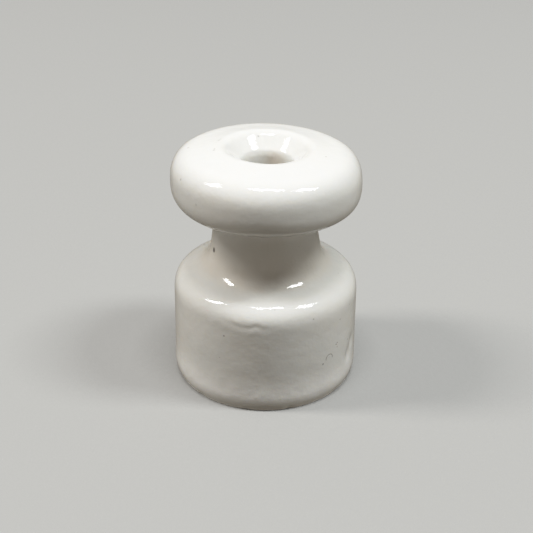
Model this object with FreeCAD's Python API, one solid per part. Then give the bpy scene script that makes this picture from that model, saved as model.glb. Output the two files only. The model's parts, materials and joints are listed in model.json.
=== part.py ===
"""Porcelain bobbin insulator for a fence wire: one pressed, glazed and fired ceramic piece.

Units are millimetres. The axis is +Z, and the origin is the centre of the flat foot.
From the foot upwards the piece has a drum-shaped base, a sloping shoulder, a waist that
holds the wire, and a thick rounded head with a shallow funnel in its top. A straight
screw hole runs right through it from the funnel to the foot.
"""
import FreeCAD
import Part
import math
import os

# Base: a drum with a little draft, widest just above a small bevel at the foot
FOOT_EDGE_RADIUS = 15.55
FOOT_EDGE_ROUNDING = 0.2
FOOT_RADIUS = 16.1
FOOT_BEVEL_HEIGHT = 1.9
FOOT_BEVEL_ROUNDING = 6.0
SHOULDER_RADIUS = 15.9
SHOULDER_HEIGHT = 18.8
SHOULDER_ROUNDING = 3.8

# Waist: the groove that the wire is tied in, slimmer under the head
WAIST_FOOT_RADIUS = 9.9
WAIST_FOOT_HEIGHT = 21.2
WAIST_FOOT_ROUNDING = 4.8
WAIST_TOP_RADIUS = 8.3
WAIST_TOP_ROUNDING = 3.0

# Head: a thick round flange, slightly dished underneath and domed on top, its side a little tapered
HEAD_LOWER_RADIUS = 16.05
HEAD_UPPER_RADIUS = 15.85
HEAD_UNDERSIDE_HEIGHT = 31.3
HEAD_UNDERSIDE_RISE = 0.6
HEAD_LOWER_ROUNDING = 3.4
HEAD_TOP_EDGE_HEIGHT = 40.6
HEAD_UPPER_ROUNDING = 4.1

# Screw hole: straight bore, with a funnel in the head that seats the screw's head
CREST_RADIUS = 7.3
CREST_HEIGHT = 41.7
CREST_ROUNDING = 1.9
BORE_RADIUS = 4.5
FUNNEL_BOTTOM_HEIGHT = 39.1
FUNNEL_BOTTOM_ROUNDING = 0.5
BORE_MOUTH_ROUNDING = 0.5

FULL_TURN = 360.0
PARTS_FOLDER = "parts"


def base_corners():
    """Corners of the base, as (radius, height, rounding)."""
    return [
        (FOOT_EDGE_RADIUS, 0.0, FOOT_EDGE_ROUNDING),
        (FOOT_RADIUS, FOOT_BEVEL_HEIGHT, FOOT_BEVEL_ROUNDING),
        (SHOULDER_RADIUS, SHOULDER_HEIGHT, SHOULDER_ROUNDING),
    ]


def waist_corners():
    """Corners of the wire groove's floor."""
    return [
        (WAIST_FOOT_RADIUS, WAIST_FOOT_HEIGHT, WAIST_FOOT_ROUNDING),
        (WAIST_TOP_RADIUS, HEAD_UNDERSIDE_HEIGHT, WAIST_TOP_ROUNDING),
    ]


def head_corners():
    """Corners of the head, from its underside to the crest round the funnel."""
    lower_edge_height = HEAD_UNDERSIDE_HEIGHT + HEAD_UNDERSIDE_RISE
    return [
        (HEAD_LOWER_RADIUS, lower_edge_height, HEAD_LOWER_ROUNDING),
        (HEAD_UPPER_RADIUS, HEAD_TOP_EDGE_HEIGHT, HEAD_UPPER_ROUNDING),
        (CREST_RADIUS, CREST_HEIGHT, CREST_ROUNDING),
    ]


def bore_corners():
    """Corners of the screw hole, from the funnel's bottom down to the foot."""
    return [
        (BORE_RADIUS, FUNNEL_BOTTOM_HEIGHT, FUNNEL_BOTTOM_ROUNDING),
        (BORE_RADIUS, 0.0, BORE_MOUTH_ROUNDING),
    ]


def rounded_corner(before, corner, after):
    """Arc that rounds one corner, with its two tangent points."""
    vertex = FreeCAD.Vector(corner[0], 0.0, corner[1])
    to_before = FreeCAD.Vector(before[0], 0.0, before[1]).sub(vertex).normalize()
    to_after = FreeCAD.Vector(after[0], 0.0, after[1]).sub(vertex).normalize()
    half_angle = to_before.getAngle(to_after) / 2.0
    rounding = corner[2]
    tangent_length = rounding / math.tan(half_angle)
    start = vertex.add(to_before.multiply(tangent_length))
    end = vertex.add(to_after.multiply(tangent_length))
    bisector = start.add(end).multiply(0.5).sub(vertex).normalize()
    depth = rounding / math.sin(half_angle) - rounding
    middle = vertex.add(bisector.multiply(depth))
    return start, Part.Arc(start, middle, end).toShape(), end


def rounded_outline(corners):
    """Closed wire through the corners, with each one rounded by its own arc."""
    count = len(corners)
    rounded = []
    for index in range(count):
        before = corners[index - 1]
        after = corners[(index + 1) % count]
        rounded.append(rounded_corner(before, corners[index], after))
    edges = []
    for index in range(count):
        arc_end = rounded[index][2]
        next_start = rounded[(index + 1) % count][0]
        edges.append(rounded[index][1])
        edges.append(Part.LineSegment(arc_end, next_start).toShape())
    return Part.Wire(edges)


def insulator_body():
    """The whole fired piece, turned from its half section."""
    corners = base_corners() + waist_corners() + head_corners() + bore_corners()
    section = Part.Face(rounded_outline(corners))
    axis_point = FreeCAD.Vector(0.0, 0.0, 0.0)
    axis_direction = FreeCAD.Vector(0.0, 0.0, 1.0)
    turned = section.revolve(axis_point, axis_direction, FULL_TURN)
    return Part.Solid(turned.Shells[0])


def main():
    os.makedirs(PARTS_FOLDER, exist_ok=True)
    nodes = {"insulator_body": insulator_body()}
    for name, shape in nodes.items():
        shape.exportStep(os.path.join(PARTS_FOLDER, name + ".step"))
        box = shape.optimalBoundingBox(False)
        print(name, "valid:", shape.isValid(), "volume:", round(shape.Volume, 1))
        print("  x", round(box.XMin, 3), round(box.XMax, 3), "z", round(box.ZMin, 3), round(box.ZMax, 3))


main()
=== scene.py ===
"""Porcelain bobbin insulator: the looks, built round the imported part.

The fired piece is one mesh, turned from the same half section as the CAD solid and then
given what pressing, glazing and firing leave: a head a little off centre and out of level,
gentle waves and hollows in the surface, a crease under the shoulder, a flare, a roll of
glaze and nicks at the foot, iron specks and a bare foot. Names that end in _MM are in
millimetres, and so are heights, radii and sizes in tables of places. Azimuths are in
degrees from +X towards +Y. Everything else is in metres.
"""

import json
import math

import bpy
from mathutils import Matrix, Vector, noise


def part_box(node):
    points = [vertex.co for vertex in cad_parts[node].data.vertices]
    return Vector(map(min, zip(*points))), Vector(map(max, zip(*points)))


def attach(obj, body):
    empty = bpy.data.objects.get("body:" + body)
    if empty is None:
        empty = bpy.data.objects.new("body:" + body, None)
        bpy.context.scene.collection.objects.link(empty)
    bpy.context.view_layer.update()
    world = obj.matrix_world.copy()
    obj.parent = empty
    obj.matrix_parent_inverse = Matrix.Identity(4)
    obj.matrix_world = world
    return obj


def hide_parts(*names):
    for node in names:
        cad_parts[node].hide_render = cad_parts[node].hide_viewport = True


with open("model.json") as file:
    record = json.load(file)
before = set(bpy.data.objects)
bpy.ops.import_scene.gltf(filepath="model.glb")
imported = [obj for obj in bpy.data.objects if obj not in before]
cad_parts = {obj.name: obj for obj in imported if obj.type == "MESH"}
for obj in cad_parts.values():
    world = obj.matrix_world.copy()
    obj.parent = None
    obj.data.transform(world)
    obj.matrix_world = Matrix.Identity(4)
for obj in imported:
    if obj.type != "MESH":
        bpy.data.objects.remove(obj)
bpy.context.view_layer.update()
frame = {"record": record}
NODE = "insulator_body"
MM = 0.001

# ---------------------------------------------------------------- the half section

MOUNTS = {mount["name"]: mount for mount in frame["record"]["mounts"]}
BORE_RADIUS_MM = MOUNTS["screw_bore"]["dims"]["r_mm"]

# The foot's corner stands this far outside the box, because its rounding cuts it off
CUT_BY_ROUNDING_MM = 0.01
FOOT_RADIUS_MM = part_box(NODE)[1].x / MM + CUT_BY_ROUNDING_MM

# Corners of the half section as (radius, height, rounding), from the foot round to the bore
SECTION_MM = [
    (15.55, 0.0, 0.2),
    (FOOT_RADIUS_MM, 1.9, 6.0),
    (15.9, 18.8, 3.25),
    (9.9, 21.2, 3.9),
    (8.3, 31.3, 3.0),
    (16.05, 31.9, 3.2),
    (15.85, 40.6, 3.85),
    (7.3, 41.7, 1.9),
    (BORE_RADIUS_MM, 39.1, 0.5),
    (BORE_RADIUS_MM, 0.0, 0.5),
]

# The distance between the section's fine points, the least steps in an arc, and how many
# points away on each side give the direction of a normal
FINE_MM = 0.04
LEAST_ARC_STEPS = 4
NORMAL_REACH = 2

# Softening of the section: its reach, the radius where it starts, how much farther out it
# starts on the head, the heights over which that grows, and the width and the heights above
# the foot over which it sets in
SOFTENING_MM = 1.3
SOFT_FROM_MM = 5.5
SOFT_FROM_ON_HEAD_MM = 4.0
SOFT_HEAD_HEIGHTS_MM = (34.0, 38.0)
SOFT_SETS_IN_MM = 2.0
SOFT_FOOT_HEIGHTS_MM = (2.5, 4.5)

# Points lower than this are on the flat foot, and points this near the bore's wall are on it
FLAT_FOOT_MM = 0.02
NEAR_BORE_MM = 0.01

# Least radius, greatest radius, greatest height and how far apart the mesh rings stand there;
# the first line that holds a point counts
RING_ZONES_MM = [
    (0.0, math.inf, FLAT_FOOT_MM, 0.8),  # the foot's underside
    (0.0, math.inf, 1.6, 0.13),  # the foot's edge, with its nicks
    (0.0, BORE_RADIUS_MM + NEAR_BORE_MM, math.inf, 1.0),  # the bore
    (15.5, math.inf, 14.6, 0.5),  # the plain wall
    (15.0, math.inf, 17.8, 0.14),  # the crease
    (0.0, math.inf, math.inf, 0.25),  # shoulder, waist, head and funnel
]

# Columns of the mesh round the axis
SECTORS = 320


def smooth_step(low, high, value):
    """0 below low, 1 above high, and an easy curve between."""
    share = min(1.0, max(0.0, (value - low) / (high - low)))
    return share * share * (3 - 2 * share)


def rounded_corner(before, corner, after):
    """Points along the arc that rounds one corner of the half section."""
    vertex = Vector(corner[:2])
    to_before = (Vector(before[:2]) - vertex).normalized()
    to_after = (Vector(after[:2]) - vertex).normalized()
    half_angle = to_before.angle(to_after) / 2
    rounding = corner[2]
    centre = vertex + (to_before + to_after).normalized() * rounding / math.sin(half_angle)
    tangent = rounding / math.tan(half_angle)
    start = vertex + to_before * tangent - centre
    end = vertex + to_after * tangent - centre
    sweep = start.angle_signed(end)
    steps = max(LEAST_ARC_STEPS, round(abs(sweep) * rounding / FINE_MM))
    return [centre + Matrix.Rotation(-sweep * index / steps, 2) @ start for index in range(steps + 1)]


def straight_run(start, end):
    """Points strictly between two ends, a fine step apart."""
    count = max(1, round((end - start).length / FINE_MM))
    return [start.lerp(end, index / count) for index in range(1, count)]


def fine_section():
    """The closed half section as closely spaced (radius, height) points."""
    count = len(SECTION_MM)
    arcs = []
    for index in range(count):
        after = SECTION_MM[(index + 1) % count]
        arcs.append(rounded_corner(SECTION_MM[index - 1], SECTION_MM[index], after))
    points = []
    for index in range(count):
        points += arcs[index]
        points += straight_run(arcs[index][-1], arcs[(index + 1) % count][0])
    return points


def softened(points):
    """The section as the glaze leaves it: the bends of the wall, waist and head run into each other."""
    reach = round(SOFTENING_MM / FINE_MM)
    count = len(points)
    soft = []
    for index, point in enumerate(points):
        inner = SOFT_FROM_MM + SOFT_FROM_ON_HEAD_MM * smooth_step(*SOFT_HEAD_HEIGHTS_MM, point.y)
        above_foot = smooth_step(*SOFT_FOOT_HEIGHTS_MM, point.y)
        share = smooth_step(inner, inner + SOFT_SETS_IN_MM, point.x) * above_foot
        nearby = [points[(index + step) % count] for step in range(-reach, reach + 1)]
        middle = sum(nearby, Vector((0, 0))) / len(nearby)
        soft.append(point.lerp(middle, share))
    return soft


def ring_step(point):
    """How far apart the mesh rings stand at this point of the section."""
    radius, height = point
    return next(step for least, greatest, top, step in RING_ZONES_MM
                if least < radius < greatest and height < top)


def ring_indices(points):
    """Which points of the section get a ring of the mesh."""
    kept = [0]
    for index, point in enumerate(points):
        if (point - points[kept[-1]]).length >= ring_step(point):
            kept.append(index)
    return kept


def section_rows(points, indices):
    """Chosen points of the section, each with its outward normal."""
    rows = []
    for index in indices:
        along = points[(index + NORMAL_REACH) % len(points)] - points[index - NORMAL_REACH]
        rows.append((points[index], Vector((along.y, -along.x)).normalized()))
    return rows


# ---------------------------------------------------------------- what making it leaves

# How far the head is shifted across and sunk, its tilt, the height that it tilts about, and
# the heights over which all this sets in
HEAD_SHIFT_MM = -0.11
HEAD_SINK_MM = 0.08
HEAD_TILT = math.radians(0.71)
HEAD_MIDDLE_MM = 35.9
HEAD_BLEND_MM = (22.0, 31.0)

# Unevenness along the normal, all over: height, wavelength and noise offset
WAVES_MM = [(0.13, 17.0, 3.1), (0.030, 6.0, 11.7), (0.006, 2.2, 27.3), (0.0012, 0.9, 41.9)]

# The radii over which the outside of the base and head begins, and the height where the base ends
OUTSIDE_RADII_MM = (13.0, 15.0)
BASE_TOP_MM = 19.0

# The crease where the mould pieces met: azimuth, height and share of the full depth
CREASE = [(-120, 17.2, 0.0), (-113, 16.9, 0.35), (-106, 16.5, 0.6), (-100, 16.5, 0.7),
          (-95, 16.8, 1.0), (-91, 16.5, 0.6), (-86, 16.3, 0.1), (-82, 16.2, 0.0),
          (38, 16.6, 0.0), (52, 16.8, 0.4), (66, 16.5, 0.5), (80, 16.7, 0.0)]
CREASE_DEPTH_MM = 0.062

# Across the crease: distance below its line, half width and share of the depth of its groove
# and lips; then the share of its step, and the distances over which that sets in and fades
CREASE_GROOVE = (0.2, 0.5, 0.8)
CREASE_UPPER_LIP = (-0.7, 0.6, 0.3)
CREASE_LOWER_LIP = (1.2, 0.5, 0.35)
CREASE_STEP = 0.5
CREASE_STEP_SETS_IN_MM = (-0.5, 0.3)
CREASE_STEP_FADES_MM = (0.3, 2.4)

# Hollows of the wall and the head's side: (azimuth, height), half width, half height and depth
HOLLOWS = [((-20, 7.9), 1.0, 1.2, 0.24), ((-25, 6.1), 1.0, 1.3, 0.26), ((-88, 6.4), 5.5, 2.8, 0.05),
           ((-60, 6.2), 2.8, 2.2, 0.05), ((-140, 7.0), 4.0, 3.0, 0.05), ((28, 9.0), 3.0, 4.0, 0.07),
           ((104, 4.8), 3.5, 1.6, 0.07), ((160, 11.0), 2.4, 2.6, 0.06), ((-168, 33.2), 9.0, 1.8, 0.10),
           ((-9, 38.6), 6.0, 1.9, 0.11)]

# Nicks in the foot edge: azimuth, half width and depth
NICKS = [(-74, 0.55, 0.16), (-133, 0.8, 0.10), (-101, 1.2, 0.07), (-38, 0.7, 0.10), (15, 0.6, 0.15),
         (71, 1.1, 0.12), (126, 0.5, 0.18), (173, 0.9, 0.10)]
NICK_HEIGHT_MM = 0.75

# The flare of the foot and the roll where the glaze ends: height, half height and relief
FLARE_MM = (1.2, 2.4, 0.11)
GLAZE_ROLL_MM = (1.15, 0.35, 0.015)

# The glaze's thickness, the heights over which it starts, and, as in WAVES_MM, how its edge
# and the bare clay vary
GLAZE_THICKNESS_MM = 0.03
GLAZE_STARTS_MM = (0.1, 0.9)
GLAZE_EDGE_WAVE_MM = (0.35, 5.0, 7.7)
BARE_CLAY_WAVE = (1.0, 1.3, 5.3)

# Glaze pooled in the funnel: its thickness, the unevenness of that, its share at the bore,
# the radii over which it thickens and then thins out across the crest, and the heights over
# which it begins above the bore
FUNNEL_GLAZE_MM = 0.12
FUNNEL_WAVE_MM = (0.03, 3.4, 19.1)
FUNNEL_SHARE_AT_BORE = 0.6
FUNNEL_THICKENS_MM = (4.7, 6.9)
FUNNEL_THINS_MM = (7.0, 11.5)
FUNNEL_HEIGHTS_MM = (33.0, 38.0)


def bell(value, half_width):
    return math.exp(-((value / half_width) ** 2))


def ridge(value, middle, half_width, height):
    return height * bell(value - middle, half_width)


def wave(point, height, wavelength, offset):
    return height * noise.noise(point / wavelength + Vector((offset, offset, offset)))


def turn_between(first, second):
    """The smaller angle from one azimuth to another, in degrees."""
    return (first - second + 180) % 360 - 180


def crease_at(azimuth):
    """Height of the crease and its share of the full depth at an azimuth."""
    for (first, low, weak), (second, high, strong) in zip(CREASE, CREASE[1:]):
        if first <= azimuth < second:
            share = smooth_step(first, second, azimuth)
            return low + (high - low) * share, weak + (strong - weak) * share
    return CREASE[0][1], 0.0


def crease(azimuth, height):
    """A step inward just below the crease that fades out farther down the wall."""
    line, depth = crease_at(azimuth)
    below = line - height
    step = smooth_step(*CREASE_STEP_SETS_IN_MM, below) * (1 - smooth_step(*CREASE_STEP_FADES_MM, below))
    lip = ridge(below, *CREASE_UPPER_LIP) + ridge(below, *CREASE_LOWER_LIP)
    return CREASE_DEPTH_MM * depth * (lip - ridge(below, *CREASE_GROOVE) - CREASE_STEP * step)


def hollows(azimuth, height, radius):
    total = 0.0
    for (place_azimuth, place_height), half_width, half_height, depth in HOLLOWS:
        across = math.radians(turn_between(azimuth, place_azimuth)) * radius
        total -= depth * bell(across, half_width) * bell(height - place_height, half_height)
    return total


def foot_edge(point, azimuth, height, radius):
    """The slight flare of the foot, the roll where the glaze ends, the bare edge and its nicks."""
    wander = wave(Vector((point.x, point.y, 0)), *GLAZE_EDGE_WAVE_MM)
    roll = ridge(height - wander, *GLAZE_ROLL_MM)
    flare = ridge(height, *FLARE_MM)
    unglazed = 1 - smooth_step(*GLAZE_STARTS_MM, height - wander)
    bare = GLAZE_THICKNESS_MM * unglazed * (1 + wave(point, *BARE_CLAY_WAVE))
    nicked = 0.0
    for place_azimuth, half_width, depth in NICKS:
        across = math.radians(turn_between(azimuth, place_azimuth)) * radius
        nicked += depth * bell(across, half_width) * bell(height, NICK_HEIGHT_MM)
    return flare + roll - bare - nicked


def funnel_glaze(point, radius, height):
    """The glaze that pools in the funnel and thins out across the crest."""
    thickening = (1 - FUNNEL_SHARE_AT_BORE) * smooth_step(*FUNNEL_THICKENS_MM, radius)
    pooled = (FUNNEL_SHARE_AT_BORE + thickening) * (1 - smooth_step(*FUNNEL_THINS_MM, radius))
    uneven = FUNNEL_GLAZE_MM + wave(point, *FUNNEL_WAVE_MM)
    return uneven * pooled * smooth_step(*FUNNEL_HEIGHTS_MM, height)


def relief(point, radius, height):
    """How far the real surface stands out from the ideal one."""
    azimuth = math.degrees(math.atan2(point.y, point.x))
    offset = sum(wave(point, *row) for row in WAVES_MM)
    if radius > OUTSIDE_RADII_MM[0]:
        offset += hollows(azimuth, height, radius)
    if radius > OUTSIDE_RADII_MM[0] and height < BASE_TOP_MM:
        offset += crease(azimuth, height)
        offset += foot_edge(point, azimuth, height, radius) * smooth_step(*OUTSIDE_RADII_MM, radius)
    if radius < FUNNEL_THINS_MM[1]:
        offset += funnel_glaze(point, radius, height)
    return offset


def lean(point):
    """The head sits a little to one side of the base and out of level with it."""
    share = smooth_step(*HEAD_BLEND_MM, point.z)
    pivot = Vector((0, 0, HEAD_MIDDLE_MM))
    turned = Matrix.Rotation(HEAD_TILT * share, 3, "Y") @ (point - pivot) + pivot
    return turned + Vector((HEAD_SHIFT_MM * share, 0, -HEAD_SINK_MM * share))


def surface_point(row, azimuth):
    """Where a row of the section lies on the real piece, in millimetres."""
    (radius, height), normal = row
    angle = math.radians(azimuth)
    outward = Vector((math.cos(angle), math.sin(angle), 0))
    ideal = outward * radius + Vector((0, 0, height))
    offset = relief(ideal, radius, height)
    real = lean(ideal + (outward * normal.x + Vector((0, 0, normal.y))) * offset)
    real.z = max(real.z, 0.0) if height > FLAT_FOOT_MM else 0.0
    return real


def build_body(rows):
    """The whole piece as one closed mesh."""
    rings = len(rows)
    vertices = []
    for row in rows:
        for sector in range(SECTORS):
            vertices.append(surface_point(row, 360 * sector / SECTORS) * MM)
    faces = []
    for ring in range(rings):
        for sector in range(SECTORS):
            here = ring * SECTORS
            above = (ring + 1) % rings * SECTORS
            beside = (sector + 1) % SECTORS
            faces.append((here + sector, here + beside, above + beside, above + sector))
    mesh = bpy.data.meshes.new("fired_porcelain")
    mesh.from_pydata(vertices, [], faces)
    mesh.validate()
    mesh.shade_smooth()
    body = bpy.data.objects.new("fired_porcelain", mesh)
    bpy.context.scene.collection.objects.link(body)
    return body


# ---------------------------------------------------------------- short ways to add nodes

# Sockets of a Mix node that mixes colours, where names repeat
MIX_FACTOR, MIX_FIRST, MIX_SECOND, MIX_RESULT = 0, 6, 7, 2


class Tree:
    """Short ways to add nodes to a material or the world and join them."""

    def __init__(self, owner):
        owner.use_nodes = True
        self.nodes = owner.node_tree.nodes
        self.links = owner.node_tree.links
        self.shader = self.nodes.get("Principled BSDF") or self.nodes["Background"]

    def put(self, socket, value):
        """Link an output to a socket, or set the socket to a plain value."""
        if isinstance(value, bpy.types.NodeSocket):
            self.links.new(value, socket)
        else:
            socket.default_value = value

    def math(self, operation, first, second=0.0):
        node = self.nodes.new("ShaderNodeMath")
        node.operation = operation
        self.put(node.inputs[0], first)
        self.put(node.inputs[1], second)
        return node.outputs[0]

    def times(self, first, second):
        return self.math("MULTIPLY", first, second)

    def vector(self, operation, first, second):
        node = self.nodes.new("ShaderNodeVectorMath")
        node.operation = operation
        self.put(node.inputs[0], first)
        self.put(node.inputs[1], second)
        return node.outputs["Value" if operation in ("DISTANCE", "LENGTH") else "Vector"]

    def split(self, vector):
        """The X, Y and Z of a vector."""
        node = self.nodes.new("ShaderNodeSeparateXYZ")
        self.put(node.inputs[0], vector)
        return [node.outputs[axis] for axis in "XYZ"]

    def place(self):
        """Where the shaded point is on the object, in millimetres."""
        metres = self.nodes.new("ShaderNodeTexCoord").outputs["Object"]
        return self.vector("MULTIPLY", metres, (1 / MM, 1 / MM, 1 / MM))

    def ramp(self, value, low, high, first=0.0, last=1.0):
        """A smooth step of a value, from first at low to last at high."""
        node = self.nodes.new("ShaderNodeMapRange")
        node.interpolation_type = "SMOOTHSTEP"
        for name, number in (("From Min", low), ("From Max", high), ("To Min", first), ("To Max", last)):
            node.inputs[name].default_value = number
        self.put(node.inputs["Value"], value)
        return node.outputs["Result"]

    def band(self, value, rise, fall):
        """1 from the end of the rise to the start of the fall, and 0 outside them."""
        return self.times(self.ramp(value, *rise), self.ramp(value, *fall, 1.0, 0.0))

    def noise(self, place, wavelength, detail=2.0):
        node = self.nodes.new("ShaderNodeTexNoise")
        node.inputs["Scale"].default_value = 1 / wavelength
        node.inputs["Detail"].default_value = detail
        self.put(node.inputs["Vector"], place)
        return node.outputs["Fac"]

    def patches(self, place, wavelength, detail, *limits):
        """Noise turned into soft patches, with the limits of its ramp."""
        return self.ramp(self.noise(place, wavelength, detail), *limits)

    def mix(self, factor, first, second):
        node = self.nodes.new("ShaderNodeMix")
        node.data_type = "RGBA"
        self.put(node.inputs[MIX_FACTOR], factor)
        self.put(node.inputs[MIX_FIRST], first)
        self.put(node.inputs[MIX_SECOND], second)
        return node.outputs[MIX_RESULT]

    def bump(self, height, relief_mm, normal=None):
        """The normal after one more layer of relief, as high as relief_mm where height is 1."""
        node = self.nodes.new("ShaderNodeBump")
        node.inputs["Distance"].default_value = relief_mm * MM
        self.put(node.inputs["Height"], height)
        if normal:
            self.put(node.inputs["Normal"], normal)
        return node.outputs["Normal"]


# ---------------------------------------------------------------- marks in the glaze

# Iron specks on the outside: azimuth, height, half size and darkness
SIDE_SPECKS = [
    (-158, 24.2, 0.52, 1.0), (-115, 14.0, 0.17, 0.5), (-40, 10.4, 0.13, 0.85),
    (-41, 10.2, 0.12, 0.85), (-40, 9.6, 0.13, 0.4), (-52, 7.5, 0.19, 0.6),
    (-60, 17.0, 0.15, 0.35), (-38, 14.7, 0.15, 0.35), (-27, 9.2, 0.15, 0.4),
    (-133, 36.3, 0.24, 0.18), (-151, 38.7, 0.24, 0.3), (34, 8.7, 0.22, 0.8),
    (77, 14.2, 0.17, 0.5), (128, 36.5, 0.20, 0.6), (96, 5.1, 0.26, 0.45),
    (60, 25.1, 0.19, 0.6), (148, 19.9, 0.20, 0.4),
]

# The same on top of the head, with the radius in place of the height
TOP_SPECKS = [
    (178, 13.0, 0.22, 0.4), (165, 8.3, 0.24, 0.35), (161, 8.2, 0.20, 0.35),
    (104, 6.5, 0.19, 0.5), (-166, 8.9, 0.22, 0.4), (-169, 8.7, 0.18, 0.4),
    (-136, 7.4, 0.15, 0.4), (-18, 10.0, 0.20, 0.35),
]

# Rows of the section beyond this radius are on the outside, and above this height on the top
OUTSIDE_MM = 8.0
HEAD_TOP_MM = 38.95

# How ragged the specks are, the grain of that, and where their dark core ends and they fade out
SPECK_RAGGED_MM = 0.16
SPECK_GRAIN_MM = 0.25
SPECK_CORE = 0.5
SPECK_CORE_MM = 0.05
SPECK_FADE_MM = 0.14

# A warm stain inside the bore: azimuth, radius, height, half size and strength
STAIN = (72, 4.4, 37.2, 3.0, 0.5)

# A hair's mark under the glaze: azimuth, height, bend radius, half width and darkness; then
# the core of its line, how that fades, and how far up its foot is open
HAIR = (-47, 8.2, 0.75, 0.07, 0.6)
HAIR_CORE = 0.5
HAIR_FADE_MM = 0.05
HAIR_OPENS_MM = 0.35

# Pinholes: cells for each millimetre, the share of cells with none, and the edge of each
PIT_CELLS = 0.55
PIT_FREE_CELLS = 0.80
PIT_EDGE = (0.03, 0.07)


def side_point(rows, azimuth, height):
    """The real surface's point on the outside of the piece at a height."""
    outside = [row for row in rows if row[0].x > OUTSIDE_MM]
    return surface_point(min(outside, key=lambda row: abs(row[0].y - height)), azimuth)


def top_point(rows, azimuth, radius):
    """The real surface's point on top of the head, or in its funnel, at a radius."""
    top = [row for row in rows if row[0].y > HEAD_TOP_MM]
    return surface_point(min(top, key=lambda row: abs(row[0].x - radius)), azimuth)


def speck_mask(tree, place, rows):
    """1 in the middle of each iron speck, 0 away from them."""
    ragged = tree.times(tree.noise(place, SPECK_GRAIN_MM), SPECK_RAGGED_MM)
    spots = [(side_point(rows, azimuth, height), *rest) for azimuth, height, *rest in SIDE_SPECKS]
    spots += [(top_point(rows, azimuth, radius), *rest) for azimuth, radius, *rest in TOP_SPECKS]
    mask = 0.0
    for middle, half_size, darkness in spots:
        away = tree.math("ADD", tree.vector("DISTANCE", place, middle), ragged)
        core = half_size * SPECK_CORE + SPECK_CORE_MM
        spot = tree.ramp(away, core, half_size + SPECK_FADE_MM, darkness, 0.0)
        mask = tree.math("MAXIMUM", spot, mask)
    return mask


def stain_mask(tree, place):
    """A soft patch that fades out from its middle."""
    azimuth, radius, height, half_size, strength = STAIN
    angle = math.radians(azimuth)
    middle = (radius * math.cos(angle), radius * math.sin(angle), height)
    return tree.ramp(tree.vector("DISTANCE", place, middle), 0.0, half_size, strength, 0.0)


def hair_mask(tree, place, height, rows):
    """A thin arch left by a hair, open at its foot."""
    azimuth, middle, bend, half_width, darkness = HAIR
    away = tree.vector("DISTANCE", place, side_point(rows, azimuth, middle))
    ring = tree.math("ABSOLUTE", tree.math("SUBTRACT", away, bend))
    line = tree.ramp(ring, half_width * HAIR_CORE, half_width + HAIR_FADE_MM, darkness, 0.0)
    return tree.times(line, tree.ramp(height, middle - HAIR_OPENS_MM, middle))


def pit_mask(tree, place):
    """Pinholes, one in the middle of each chosen cell."""
    cells = tree.nodes.new("ShaderNodeTexVoronoi")
    cells.inputs["Scale"].default_value = PIT_CELLS
    tree.put(cells.inputs["Vector"], place)
    chance = tree.nodes.new("ShaderNodeSeparateColor")
    tree.put(chance.inputs[0], cells.outputs["Color"])
    chosen = tree.math("GREATER_THAN", chance.outputs[0], PIT_FREE_CELLS)
    return tree.times(tree.ramp(cells.outputs["Distance"], *PIT_EDGE, 1.0, 0.0), chosen)


# ---------------------------------------------------------------- the glaze

WHITE = (0.80, 0.79, 0.755, 1)
GREY_WHITE = (0.775, 0.775, 0.75, 1)
PALE_WHITE = (0.82, 0.815, 0.79, 1)
# A lighter tone for a mottled band low on the wall, above the foot
LOW_WALL_WHITE = (0.90, 0.895, 0.875, 1)
# Painted warm shade for the waist's corner, under the head
WAIST_SHADE_WHITE = (0.755, 0.71, 0.64, 1)
BORE_COLOUR = (0.65, 0.60, 0.52, 1)
STAIN_COLOUR = (0.66, 0.53, 0.41, 1)
DARK_CLAY = (0.84, 0.815, 0.77, 1)
LIGHT_CLAY = (0.93, 0.91, 0.875, 1)
IRON = (0.055, 0.038, 0.028, 1)
HAIR_COLOUR = (0.20, 0.18, 0.16, 1)
PIT_COLOUR = (0.30, 0.27, 0.23, 1)

PALE_SHARE = 0.5
WAIST_SHADE_SHARE = 0.75
BORE_SHARE = 0.45
PIT_SHARE = 0.4

# Patches: wavelength, detail, and the noise where they start and end; then, where the patch
# doesn't run from 0 to 1, its values there
CLOUDS = (12.0, 2.0, 0.35, 0.65)
PALE_PATCHES = (2.6, 4.0, 0.52, 0.72)
LOW_WALL_PATCHES = (2.2, 3.0, 0.25, 0.6, 0.55, 1.0)
GLOSS_PATCHES = (4.0, 3.0, 0.3, 0.7, 0.045, 0.085)

# Heights over which the low wall's lighter tone and the painted warm shade of the waist set in and fade
# out, and radii over which the painted shade fades
LOW_WALL_BAND_MM = ((0.8, 2.2), (3.2, 7.5))
WAIST_SHADE_BAND_MM = ((19.9, 21.2), (22.5, 30.0))
WAIST_SHADE_FADES_MM = (10.5, 13.5)

# Where the glaze ends on the foot, and where the bore turns darker, beige and duller: the ranges of
# height or radius, and how far a noise of this wavelength and detail moves them
EDGE_NOISE = (3.0, 3.0)
FOOT_EDGE_MM = (-0.25, 0.10)
FOOT_EDGE_MOVES_MM = -0.9
BORE_RADII_MM = (4.75, 4.95)
BORE_HEIGHTS_MM = (30.0, 41.0)
BORE_HEIGHTS_MOVE_MM = 6.0

CLAY_ROUGHNESS = 0.72
BORE_ROUGHNESS = 0.32

# Orange peel of the glaze, as wavelength and relief, then the other layers of relief
PEEL_MM = [(2.4, 0.060), (0.75, 0.022), (0.33, 0.007)]
PEEL_DETAIL = 1.0
PIT_RELIEF_MM = 0.03
CLAY_RELIEF_MM = 0.12
SAND_NOISE = (0.16, 3.0)
CLAY_NOISE = (0.35, 3.0)

GLAZE_IOR = 1.52
SUBSURFACE = {"Weight": 0.15, "Radius": (1.0, 0.85, 0.65), "Scale": 0.0012}


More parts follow.
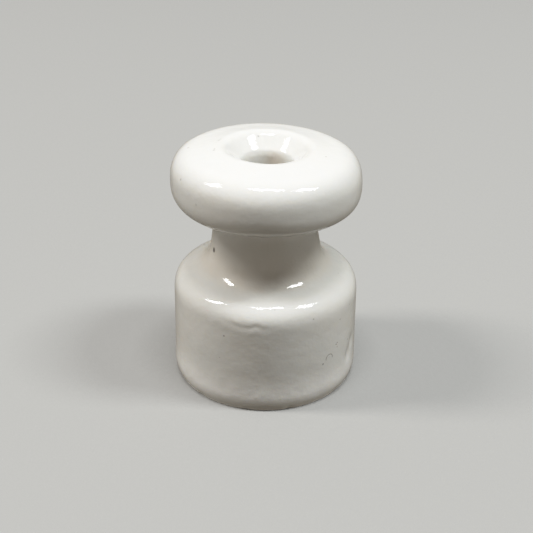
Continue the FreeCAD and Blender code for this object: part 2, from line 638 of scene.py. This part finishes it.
def glaze_white(tree, place, height, radius):
    """Cloudy white, lighter in a mottled band low on the wall, with painted warm shade in the waist's
    corner.
    """
    white = tree.mix(tree.patches(place, *CLOUDS), WHITE, GREY_WHITE)
    pale = tree.times(tree.patches(place, *PALE_PATCHES), PALE_SHARE)
    white = tree.mix(pale, white, PALE_WHITE)
    low_wall = tree.times(tree.band(height, *LOW_WALL_BAND_MM), tree.patches(place, *LOW_WALL_PATCHES))
    white = tree.mix(low_wall, white, LOW_WALL_WHITE)
    # Painted warm shade in the waist's corner, where the head shades it
    warm = tree.times(tree.band(height, *WAIST_SHADE_BAND_MM), tree.ramp(radius, *WAIST_SHADE_FADES_MM, 1.0, 0.0))
    return tree.mix(tree.times(warm, WAIST_SHADE_SHARE), white, WAIST_SHADE_WHITE)


def glaze_normal(tree, place, pit, bare):
    """Orange peel and pinholes in the glaze, and sandy clay where it is bare."""
    normal = None
    for wavelength, relief_mm in PEEL_MM:
        normal = tree.bump(tree.noise(place, wavelength, PEEL_DETAIL), relief_mm, normal)
    normal = tree.bump(tree.times(pit, -1.0), PIT_RELIEF_MM, normal)
    return tree.bump(tree.times(tree.noise(place, *SAND_NOISE), bare), CLAY_RELIEF_MM, normal)


def glaze_material(rows):
    """White gloss glaze over porcelain, bare and matt on the foot and dull inside the bore."""
    material = bpy.data.materials.new("white_gloss_glaze")
    tree = Tree(material)
    place = tree.place()
    height = tree.split(place)[2]
    radius = tree.vector("LENGTH", tree.vector("MULTIPLY", place, (1, 1, 0)), (0, 0, 0))

    wander = tree.noise(place, *EDGE_NOISE)
    foot_edge_height = tree.math("ADD", height, tree.times(wander, FOOT_EDGE_MOVES_MM))
    bare = tree.ramp(foot_edge_height, *FOOT_EDGE_MM, 1.0, 0.0)
    bore_height = tree.math("ADD", height, tree.times(wander, BORE_HEIGHTS_MOVE_MM))
    deep = tree.ramp(bore_height, *BORE_HEIGHTS_MM, 1.0, 0.0)
    bore = tree.times(tree.ramp(radius, *BORE_RADII_MM, 1.0, 0.0), deep)
    pit = pit_mask(tree, place)

    white = glaze_white(tree, place, height, radius)
    clay = tree.mix(tree.noise(place, *CLAY_NOISE), DARK_CLAY, LIGHT_CLAY)
    # Darker beige deep inside the bore
    colour = tree.mix(tree.times(bore, BORE_SHARE), white, BORE_COLOUR)
    colour = tree.mix(stain_mask(tree, place), colour, STAIN_COLOUR)
    colour = tree.mix(bare, colour, clay)
    colour = tree.mix(speck_mask(tree, place, rows), colour, IRON)
    colour = tree.mix(hair_mask(tree, place, height, rows), colour, HAIR_COLOUR)
    colour = tree.mix(tree.times(pit, PIT_SHARE), colour, PIT_COLOUR)

    rough = tree.math("MAXIMUM", tree.patches(place, *GLOSS_PATCHES), tree.times(bare, CLAY_ROUGHNESS))
    rough = tree.math("MAXIMUM", rough, tree.times(bore, BORE_ROUGHNESS))

    sockets = tree.shader.inputs
    tree.put(sockets["Base Color"], colour)
    tree.put(sockets["Roughness"], rough)
    tree.put(sockets["Normal"], glaze_normal(tree, place, pit, bare))
    tree.put(sockets["IOR"], GLAZE_IOR)
    for name, value in SUBSURFACE.items():
        tree.put(sockets["Subsurface " + name], value)
    return material


# ---------------------------------------------------------------- floor

FLOOR_HALF = 4.0
FLOOR_COLOUR = (0.33, 0.33, 0.326, 1)
FLOOR_ROUGHNESS = 0.85
FLOOR_NOISE = (1.4, 3.0)
FLOOR_RELIEF_MM = 0.1


def floor_material():
    """Plain pale grey with a fine grain."""
    material = bpy.data.materials.new("pale_floor")
    tree = Tree(material)
    sockets = tree.shader.inputs
    tree.put(sockets["Base Color"], FLOOR_COLOUR)
    tree.put(sockets["Roughness"], FLOOR_ROUGHNESS)
    tree.put(sockets["Normal"], tree.bump(tree.noise(tree.place(), *FLOOR_NOISE), FLOOR_RELIEF_MM))
    return material


def build_floor():
    """A plain floor under the foot that throws no light on the piece and isn't mirrored in it."""
    corners = [(-FLOOR_HALF, -FLOOR_HALF, 0), (FLOOR_HALF, -FLOOR_HALF, 0),
               (FLOOR_HALF, FLOOR_HALF, 0), (-FLOOR_HALF, FLOOR_HALF, 0)]
    mesh = bpy.data.meshes.new("floor")
    mesh.from_pydata(corners, [], [(0, 1, 2, 3)])
    floor = bpy.data.objects.new("floor", mesh)
    floor.data.materials.append(floor_material())
    bpy.context.scene.collection.objects.link(floor)
    floor.visible_diffuse = False
    floor.visible_glossy = False


# ---------------------------------------------------------------- light

CEILING = 1.5

# Ceiling panels: place across and along, size, radiance and colour
PANELS = [((-1.30, -0.03), (0.84, 0.28), 33.0, (1.0, 0.97, 0.92)),
          ((0.05, -0.17), (0.56, 0.24), 31.0, (1.0, 0.995, 0.98)),
          ((0.94, -0.16), (0.62, 0.30), 31.0, (0.97, 1.0, 0.985))]

# Light of the room from each side, from overhead and from below
ROOM_LEFT = (0.35, 0.318, 0.28, 1)
ROOM_RIGHT = (0.10, 0.105, 0.098, 1)
ROOM_FRONT = (0.045, 0.028, 0.014, 1)
ROOM_OVERHEAD = (0.45, 0.455, 0.45, 1)
GROUND_MIDDLE = (0.238, 0.217, 0.183, 1)
GROUND_ASIDE = (0.46, 0.44, 0.40, 1)

# Parts of the view direction over which one of them turns into the next
LEFT_TO_RIGHT = (-0.9, 0.9)
FRONT_TO_BACK = (-0.72, 0.36)
HORIZON_TO_OVERHEAD = (0.28, 0.98)
MIDDLE_TO_ASIDE = (0.48, 0.98)
GROUND_TO_HORIZON = (-0.12, 0.06)


def build_panel(index, place, size, radiance, colour):
    """One soft rectangular ceiling panel, facing down."""
    data = bpy.data.lights.new("panel_%d" % index, "AREA")
    data.shape = "RECTANGLE"
    data.size, data.size_y = size
    data.energy = math.pi * size[0] * size[1] * radiance
    data.color = colour
    lamp = bpy.data.objects.new("panel_%d" % index, data)
    lamp.location = (place[0], place[1], CEILING)
    bpy.context.scene.collection.objects.link(lamp)


def build_world():
    """Soft room light: warm on the left, dim in front, brighter overhead and low at the sides."""
    world = bpy.data.worlds.new("studio")
    tree = Tree(world)
    across, along, upward = tree.split(tree.nodes.new("ShaderNodeTexCoord").outputs["Generated"])
    sides = tree.mix(tree.ramp(across, *LEFT_TO_RIGHT), ROOM_LEFT, ROOM_RIGHT)
    horizon = tree.mix(tree.ramp(along, *FRONT_TO_BACK), ROOM_FRONT, sides)
    sky = tree.mix(tree.ramp(upward, *HORIZON_TO_OVERHEAD), horizon, ROOM_OVERHEAD)
    aside = tree.ramp(tree.math("ABSOLUTE", across), *MIDDLE_TO_ASIDE)
    ground = tree.mix(aside, GROUND_MIDDLE, GROUND_ASIDE)
    room = tree.mix(tree.ramp(upward, *GROUND_TO_HORIZON), ground, sky)
    tree.put(tree.shader.inputs["Color"], room)
    bpy.context.scene.world = world


def build_lights():
    for index, panel in enumerate(PANELS):
        build_panel(index, *panel)
    build_world()


# ---------------------------------------------------------------- camera and tones

CAMERA_DISTANCE = 0.176
CAMERA_ELEVATION = math.radians(28.21)
CAMERA_ROLL = math.radians(0.83)
AIM = Vector((0.00012, 0, 0.0193))
LENS_MM = 68.14
SENSOR_MM = 36
NEAREST_SEEN = 0.01

# Light that is shown as white, how lighter tones are held back below it, and where they end
TONE_WHITE = 1.3
TONE_POINTS = [(0.25, 0.25), (0.50, 0.50), (0.72, 0.70), (1.0, 0.87), (1.15, 0.94)]
TONE_END = 0.985
ALL_CHANNELS = 3


def build_camera():
    data = bpy.data.cameras.new("camera")
    data.lens = LENS_MM
    data.sensor_width = SENSOR_MM
    data.clip_start = NEAREST_SEEN
    camera = bpy.data.objects.new("camera", data)
    back = Vector((0, -math.cos(CAMERA_ELEVATION), math.sin(CAMERA_ELEVATION)))
    camera.location = Vector((0, 0, AIM.z)) + back * CAMERA_DISTANCE
    aimed = (camera.location - AIM).to_track_quat("Z", "Y").to_matrix()
    camera.rotation_euler = (aimed @ Matrix.Rotation(CAMERA_ROLL, 3, "Z")).to_euler()
    bpy.context.scene.collection.objects.link(camera)
    bpy.context.scene.camera = camera


def build_grading():
    """A plain view with the soft top of a camera's tone curve, so the white head keeps its shape."""
    view = bpy.context.scene.view_settings
    view.view_transform = "Standard"
    view.use_curve_mapping = True
    curves = view.curve_mapping
    curves.white_level = (TONE_WHITE, TONE_WHITE, TONE_WHITE)
    points = curves.curves[ALL_CHANNELS].points
    points[0].location = (0, 0)
    points[1].location = (1, TONE_END)
    for light, shown in TONE_POINTS:
        points.new(light / TONE_WHITE, shown)
    curves.update()


def main():
    section = softened(fine_section())
    body = build_body(section_rows(section, ring_indices(section)))
    body.data.materials.append(glaze_material(section_rows(section, range(len(section)))))
    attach(body, "root")
    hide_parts(NODE)
    build_floor()
    build_lights()
    build_camera()
    build_grading()


main()
